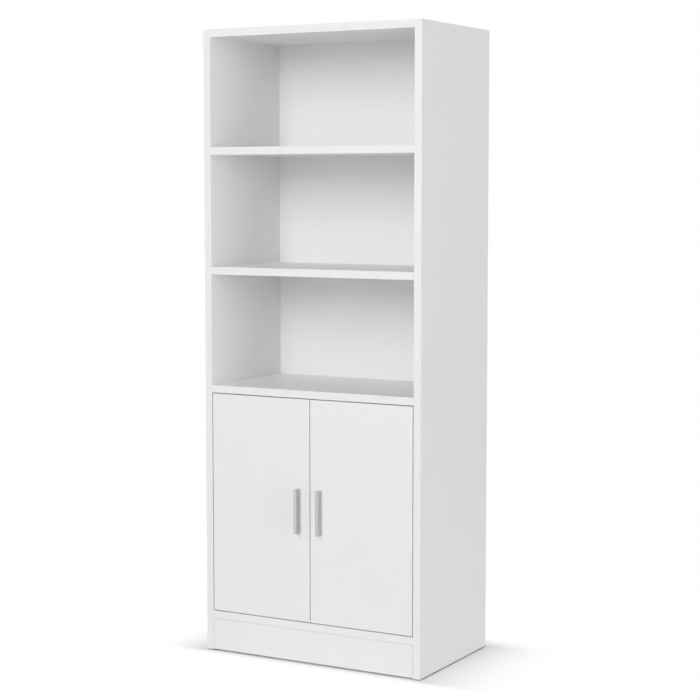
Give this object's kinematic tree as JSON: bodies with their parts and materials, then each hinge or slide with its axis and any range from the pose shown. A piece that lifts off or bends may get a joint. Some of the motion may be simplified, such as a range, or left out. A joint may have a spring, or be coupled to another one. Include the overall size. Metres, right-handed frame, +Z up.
{
  "type": "bookcase with cabinet doors",
  "caption": "Tall white bookcase with open compartments above a cabinet with inset doors on concealed cup hinges and short grey D handles.",
  "frame": {"origin": "on the floor under the middle of the overall box, handles included", "axes": "+Z up, doors and open front towards -Y, +X to the right seen from the front"},
  "size_m": [0.7, 0.451, 1.8],
  "materials": {
    "white_board": "white melamine, satin",
    "handle_metal": "satin",
    "hinge_steel": "nickel plated",
    "fastener_steel": "zinc plated",
    "zinc": "cast zinc",
    "white_plastic": "matt",
    "grey_plastic": "matt",
    "beech": "raw beech"
  },
  "bodies": {
    "carcass": {"side_panel_left": "white_board", "side_panel_right": "white_board", "bottom_panel": "white_board", "cabinet_top": "white_board", "shelf_lower": "white_board", "shelf_upper": "white_board", "top_panel": "white_board", "plinth_front": "white_board", "plinth_rear": "white_board", "back_panel": "white_board", "cabinet_shelf": "white_board", "cam_locks": "zinc", "cam_caps": "white_plastic", "cam_bolts": "fastener_steel", "dowels": "beech", "shelf_pins": "fastener_steel", "back_screws": "fastener_steel", "door_stops": "white_plastic", "door_stop_screws": "fastener_steel", "glides": "grey_plastic", "glide_nails": "fastener_steel", "hinge_arms_left": "hinge_steel", "arm_pins_left": "fastener_steel", "mounting_plates_left": "hinge_steel", "plate_screws_left": "fastener_steel", "arm_screws_left": "fastener_steel", "hinge_arms_right": "hinge_steel", "arm_pins_right": "fastener_steel", "mounting_plates_right": "hinge_steel", "plate_screws_right": "fastener_steel", "arm_screws_right": "fastener_steel"},
    "main_links_left_body": {"main_links_left": "hinge_steel"},
    "inner_links_left_body": {"inner_links_left": "hinge_steel"},
    "door_left_leaf": {"door_left": "white_board", "handle_left": "handle_metal", "handle_screws_left": "fastener_steel", "hinge_cups_left": "hinge_steel", "cup_pins_left": "fastener_steel", "cup_screws_left": "fastener_steel"},
    "main_links_right_body": {"main_links_right": "hinge_steel"},
    "inner_links_right_body": {"inner_links_right": "hinge_steel"},
    "door_right_leaf": {"door_right": "white_board", "handle_right": "handle_metal", "handle_screws_right": "fastener_steel", "hinge_cups_right": "hinge_steel", "cup_pins_right": "fastener_steel", "cup_screws_right": "fastener_steel"}
  },
  "joints": [
    {"name": "door_left_swing", "type": "hinge", "parent": "carcass", "child": "main_links_left_body", "pos_m": [-0.2946, -0.1726, 0.44], "axis": [0, 0, 1], "range_deg": [0, 39.6]},
    {"name": "door_left_cup_pivot", "type": "hinge", "parent": "main_links_left_body", "child": "door_left_leaf", "pos_m": [-0.3183, -0.18683, 0.44], "axis": [0, 0, 1], "range_deg": [-132, 0]},
    {"name": "door_left_inner_pivot", "type": "hinge", "parent": "carcass", "child": "inner_links_left_body", "pos_m": [-0.27834, -0.17297, 0.44], "axis": [0, 0, 1], "range_deg": [0, 37.5]},
    {"name": "door_right_swing", "type": "hinge", "parent": "carcass", "child": "main_links_right_body", "pos_m": [0.2946, -0.1726, 0.44], "axis": [0, 0, -1], "range_deg": [0, 39.6]},
    {"name": "door_right_cup_pivot", "type": "hinge", "parent": "main_links_right_body", "child": "door_right_leaf", "pos_m": [0.3183, -0.18683, 0.44], "axis": [0, 0, -1], "range_deg": [-132, 0]},
    {"name": "door_right_inner_pivot", "type": "hinge", "parent": "carcass", "child": "inner_links_right_body", "pos_m": [0.27834, -0.17297, 0.44], "axis": [0, 0, -1], "range_deg": [0, 37.5]}
  ],
  "couplings": [
    {"joint": "door_left_cup_pivot", "follows": "door_left_swing", "ratio": -3.3227},
    {"joint": "door_left_inner_pivot", "follows": "door_left_swing", "ratio": 0.94474},
    {"joint": "door_right_cup_pivot", "follows": "door_right_swing", "ratio": -3.3227},
    {"joint": "door_right_inner_pivot", "follows": "door_right_swing", "ratio": 0.94474}
  ]
}
